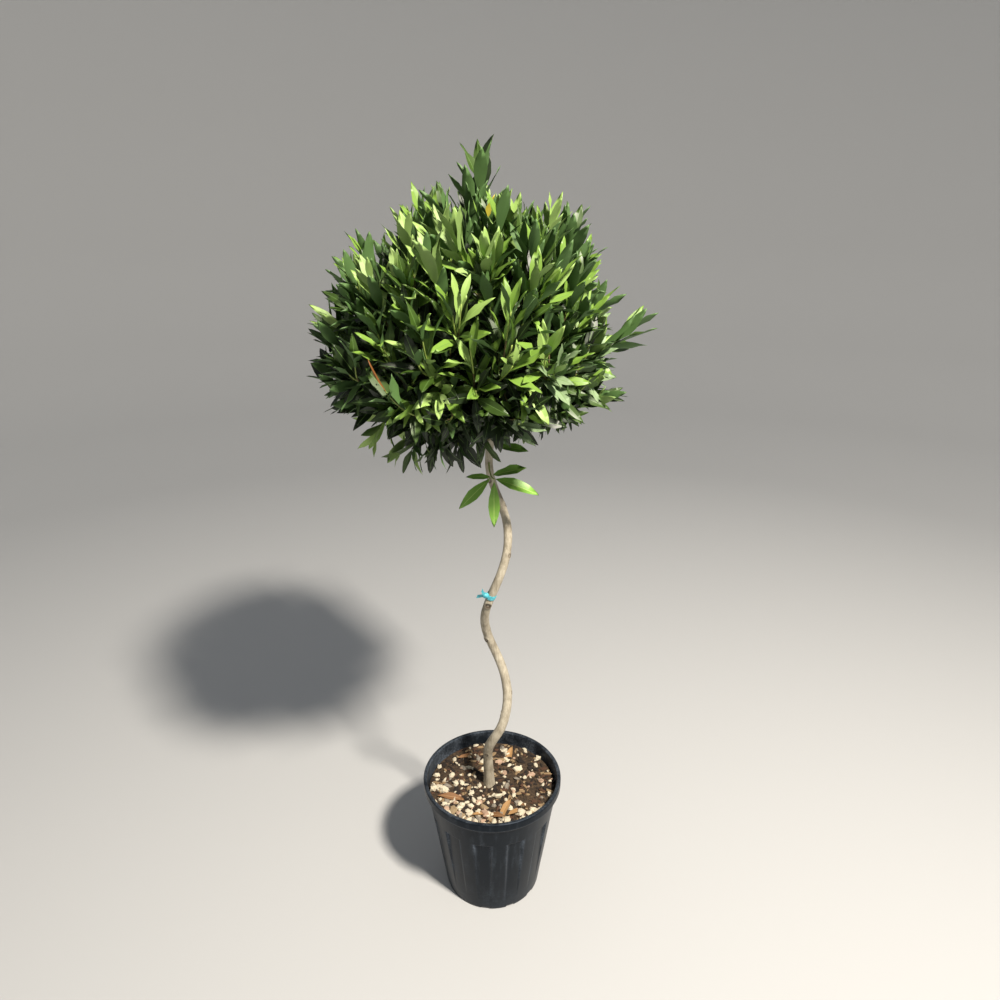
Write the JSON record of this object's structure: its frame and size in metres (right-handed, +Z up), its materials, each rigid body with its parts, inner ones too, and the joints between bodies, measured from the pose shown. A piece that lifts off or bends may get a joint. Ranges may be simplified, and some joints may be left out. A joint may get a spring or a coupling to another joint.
{
  "type": "potted bay ball topiary",
  "caption": "Clipped bay laurel with a leafy ball crown on a spiralling bare stem, in a round fluted nursery pot of potting mix",
  "frame": {"origin": "centre of the flat underside of the pot", "axes": "+Z up along the stem, -Y the front, which faced the camera, +X to the viewer's right"},
  "size_m": [0.6568, 0.6146, 1.7851],
  "materials": {
    "black_plastic": "matt",
    "potting_mix": "rough",
    "bark": "satin",
    "young_bark": "satin",
    "tape": "gloss",
    "foliage": "leathery"
  },
  "bodies": {
    "root": {"pot": "black_plastic", "potting_mix": "potting_mix", "stem": "bark", "tie": "tape", "bough_top": "young_bark", "bough_lower_front": "young_bark", "bough_lower_right": "young_bark", "bough_lower_back": "young_bark", "bough_lower_left": "young_bark", "bough_middle_front": "young_bark", "bough_middle_front_right": "young_bark", "bough_middle_back_right": "young_bark", "bough_middle_back": "young_bark", "bough_middle_back_left": "young_bark", "bough_middle_front_left": "young_bark", "bough_upper_front": "young_bark", "bough_upper_right": "young_bark", "bough_upper_back": "young_bark", "bough_upper_left": "young_bark", "foliage_top": "foliage", "foliage_lower_front": "foliage", "foliage_lower_right": "foliage", "foliage_lower_back": "foliage", "foliage_lower_left": "foliage", "foliage_middle_front": "foliage", "foliage_middle_front_right": "foliage", "foliage_middle_back_right": "foliage", "foliage_middle_back": "foliage", "foliage_middle_back_left": "foliage", "foliage_middle_front_left": "foliage", "foliage_upper_front": "foliage", "foliage_upper_right": "foliage", "foliage_upper_back": "foliage", "foliage_upper_left": "foliage", "foliage_low_sprout": "foliage"}
  },
  "joints": []
}
